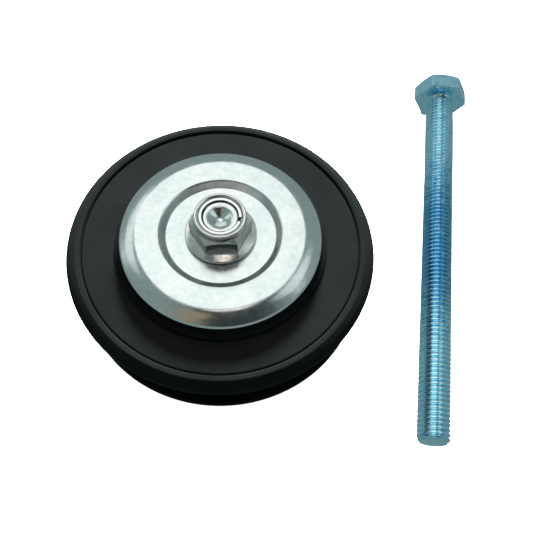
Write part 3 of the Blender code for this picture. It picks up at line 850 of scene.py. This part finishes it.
def milled_box(size, middle, edge):
    """A box in millimetres with rounded edges, as a form."""
    form = bmesh.new()
    bmesh.ops.create_cube(form, size=1, matrix=Matrix.Diagonal((*(s * MM for s in size), 1)))
    bmesh.ops.bevel(form, geom=form.edges[:], offset=edge * MM, segments=3, profile=0.5,
                    affect="EDGES")
    bmesh.ops.translate(form, verts=form.verts[:], vec=Vector(middle) * MM)
    return form


def boolean(piece, form, operation):
    """Joins or cuts the piece with a form, and applies it."""
    tool = new_piece(piece.name + "_tool", finished_mesh(piece.name + "_tool", form))
    step = piece.modifiers.new("join_or_cut", "BOOLEAN")
    step.operation = operation
    step.solver = "EXACT"
    step.object = tool
    bpy.context.view_layer.objects.active = piece
    bpy.ops.object.modifier_apply(modifier=step.name)
    bpy.data.objects.remove(tool)


block_low, block_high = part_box("slider_block")
block_x, block_y, block_z = ((high - low) / MM for low, high in zip(block_low, block_high))
block_form = milled_box((block_x, block_y, BLOCK_TOP), (0, 0, BLOCK_TOP / 2), 0.8)
block = new_piece("tee_slider_block", finished_mesh("tee_slider_block", block_form))
tongue_size = (TONGUE, block_y - 2, block_z - BLOCK_TOP + TONGUE_ROOT)
tongue_middle = (0, 0, (block_z + BLOCK_TOP - TONGUE_ROOT) / 2)
boolean(block, milled_box(tongue_size, tongue_middle, 0.5), "UNION")
socket_form = bmesh.new()
skin(socket_form, [ring(STUD_HOLE_R, stud_low - 0.3), ring(STUD_HOLE_R, BLOCK_TOP + 8)])
close_up(socket_form)
boolean(block, socket_form, "DIFFERENCE")
tap_form = bmesh.new()
reach = block_y / 2 + 2
tap_end = reach - 3.2
mouth = [(COUNTERSINK_R, reach), (5.3, reach - 2.6), (TAP_END_R, tap_end)]
skin(tap_form, [ring(r, -y) for r, y in mouth])
thread(tap_form, TAP_R, TAP_CORE_R, THREAD_PITCH, -tap_end, tap_end, TAP_END_R, TAP_END_R)
skin(tap_form, [ring(r, y) for r, y in reversed(mouth)])
close_up(tap_form)
bmesh.ops.rotate(tap_form, verts=tap_form.verts[:], matrix=Matrix.Rotation(pi / 2, 3, "X"))
bmesh.ops.translate(tap_form, verts=tap_form.verts[:], vec=(0, 0, HOLE_HEIGHT * MM))
boolean(block, tap_form, "DIFFERENCE")
hand_over(block, "bright_zinc", "shaft", "slider_block")
print("block", made["tee_slider_block"], "faces")

# %% [markdown]
# ## Inside the hub
# The collars carry the clamp load past the bearing. The bearing is a common sealed one: two
# ground rings, eight balls in a riveted ribbon cage, and a rubber seal at each face.

# %% Collars
COLLAR_R = 11.5
BUSH_R = 8.2

bush_low, bush_high = (corner.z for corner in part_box("front_collar"))
bush_top = (bush_high - bush_low) / MM
flange_low = (bearing_high - bush_low) / MM + 0.3
bush = turned("front_flanged_bush", [
    (COLLAR_R, bush_top, 0.4), (COLLAR_R, flange_low, 0.2), (BUSH_R, flange_low, 0.2),
    (BUSH_R, 0, 0.4), (STUD_HOLE_R, 0, 0.3), (STUD_HOLE_R, bush_top, 0.3)], bush_low, steps=96)
hand_over(bush, "bearing_steel", "shaft", "front_collar")
spacer_low, spacer_high = (corner.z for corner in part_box("rear_collar"))
spacer_top = (spacer_high - spacer_low) / MM
spacer = turned("rear_spacer", [
    (COLLAR_R, spacer_top, 0.5), (COLLAR_R, 0, 0.5), (STUD_HOLE_R, 0, 0.3),
    (STUD_HOLE_R, spacer_top, 0.3)], spacer_low, steps=96)
hand_over(spacer, "bearing_steel", "shaft", "rear_collar")
print(f"collars {bush_top:.1f} and {spacer_top:.1f} mm long")

# %% [markdown]
# A raceway is a round groove a little wider than the ball. Its arc is added to the ring's section
# point by point.

# %% Bearing rings and seals
BALL_PITCH_R = 14.25
RACE_R = 3.51
RING_HALF = 6.0
RING_BORE_R, RING_OUTER_R = 8.5, 20.0
INNER_SHOULDER_R, OUTER_SHOULDER_R = 12.3, 16.3


def raceway(shoulder_r, steps=12):
    """Corners along the groove, from the top shoulder to the bottom one."""
    offset = shoulder_r - BALL_PITCH_R
    inward = 1 if offset < 0 else -1
    half_turn = atan2(sqrt(RACE_R ** 2 - offset ** 2), abs(offset))
    turns = [half_turn * (1 - 2 * i / steps) for i in range(steps + 1)]
    return [(BALL_PITCH_R - inward * RACE_R * cos(a), RACE_R * sin(a), 0) for a in turns]


inner = turned("bearing_inner", [
    (INNER_SHOULDER_R, RING_HALF, 0.2), *raceway(INNER_SHOULDER_R),
    (INNER_SHOULDER_R, -RING_HALF, 0.2), (RING_BORE_R, -RING_HALF, 0.6),
    (RING_BORE_R, RING_HALF, 0.6)], bearing_z, steps=96)
hand_over(inner, "bearing_steel", "shaft", "bearing_inner_ring")
outer = turned("bearing_outer", [
    (RING_OUTER_R, RING_HALF, 0.6), (RING_OUTER_R, -RING_HALF, 0.6),
    (OUTER_SHOULDER_R, -RING_HALF, 0.2), *raceway(OUTER_SHOULDER_R)[::-1],
    (OUTER_SHOULDER_R, RING_HALF, 0.2)], bearing_z, steps=128)
hand_over(outer, "bearing_steel", "pulley", "bearing_outer_ring")
seal_section = [
    (16.0, 5.7, 0.2), (16.0, 4.9, 0.2), (12.6, 4.9, 0.15), (12.6, 5.5, 0.15), (13.1, 5.7, 0.1),
    (13.5, 5.7, 0.1), (13.7, 5.45, 0.1), (14.9, 5.45, 0.1), (15.1, 5.7, 0.1)]
for side, end in ((1, "front"), (-1, "rear")):
    facing_out = [(r, side * z, bend) for r, z, bend in seal_section]
    seal = turned(f"{end}_lip_seal", facing_out, bearing_z, 96)
    hand_over(seal, "seal_rubber", "pulley", f"bearing_seal_{end}")
print("rings", made["bearing_inner"], "and", made["bearing_outer"], "faces")

# %% [markdown]
# The balls are the one true sphere here, polished and a hair smaller than the groove. Each half
# of the cage is a thin ribbon that rises over every ball. Its height at a point depends only on
# how far the nearest ball is, so a grid of points makes both faces of the sheet.

# %% Balls and cage
BALL_COUNT = 8
BALL_SHOWN_R = 3.27
BALL_STEP = 2 * pi / BALL_COUNT
CAGE_SHEET = 0.5
CAGE_DOME_R = 3.68
CAGE_GAP = 0.15
CAGE_INNER_R, CAGE_OUTER_R = 12.9, 15.6


def ball_place(i):
    """Centre of a ball in millimetres, or of the rivet half a step on."""
    a = i * BALL_STEP
    return Vector((BALL_PITCH_R * cos(a), BALL_PITCH_R * sin(a), 0))


for i in range(BALL_COUNT):
    ball_form = bmesh.new()
    bmesh.ops.create_icosphere(ball_form, subdivisions=4, radius=BALL_SHOWN_R * MM)
    ball = new_piece(f"polished_ball_{i + 1}", finished_mesh(f"polished_ball_{i + 1}", ball_form))
    ball.location = ball_place(i) * MM + Vector((0, 0, bearing_z))
    hand_over(ball, "bearing_steel", f"ball_{i + 1}", f"bearing_ball_{i + 1}")


def ribbon_height(r, a, dome, flat):
    """Height of one face of the sheet, in millimetres from the bearing's middle."""
    ball = ball_place(round(a / BALL_STEP))
    apart = hypot(r * cos(a) - ball.x, r * sin(a) - ball.y)
    return max(flat, sqrt(max(dome ** 2 - apart ** 2, 0)))


def cage_half(name, side):
    """One ribbon of the cage, on the front (1) or rear (-1) side of the balls."""
    columns, across = 320, 8
    section = [(CAGE_INNER_R + (CAGE_OUTER_R - CAGE_INNER_R) * k / across, face)
               for face in (0, 1) for k in range(across + 1)]
    section = section[:across + 1] + section[:across:-1]
    form = bmesh.new()
    rows = []
    for i in range(columns):
        a = 2 * pi * i / columns
        row = []
        for r, face in section:
            sheet = face * CAGE_SHEET
            z = ribbon_height(r, a, CAGE_DOME_R + sheet, CAGE_GAP + sheet)
            row.append(form.verts.new((r * cos(a) * MM, r * sin(a) * MM, side * z * MM)))
        rows.append(row)
    count = len(section)
    for i, back in enumerate(rows):
        on = rows[(i + 1) % columns]
        for k in range(count):
            form.faces.new((back[k], back[(k + 1) % count], on[(k + 1) % count], on[k]))
    bmesh.ops.recalc_face_normals(form, faces=form.faces[:])
    piece = new_piece(name, finished_mesh(name, form))
    piece.location.z = bearing_z
    return piece


hand_over(cage_half("front_ribbon", 1), "spring_steel", "ball_cage", "ball_cage_front")
hand_over(cage_half("rear_ribbon", -1), "spring_steel", "ball_cage", "ball_cage_rear")
rivet_head = [(0.0, 1.2, 0), (0.45, 1.17, 0.2), (0.85, 0.95, 0.1), (0.92, 0.75, 0.05),
              (0.4, 0.75, 0)]
rivet_corners = rivet_head + [(r, -z, bend) for r, z, bend in reversed(rivet_head)]
for i in range(BALL_COUNT):
    rivet = turned(f"ribbon_rivet_{i + 1}", rivet_corners, bearing_z, steps=20, closed=False,
                   place=tuple(ball_place(i + 0.5).xy * MM))
    hand_over(rivet, "spring_steel", "ball_cage", f"cage_rivet_{i + 1}")
print("balls, cage and rivets:", sum(made.values()), "faces in all")
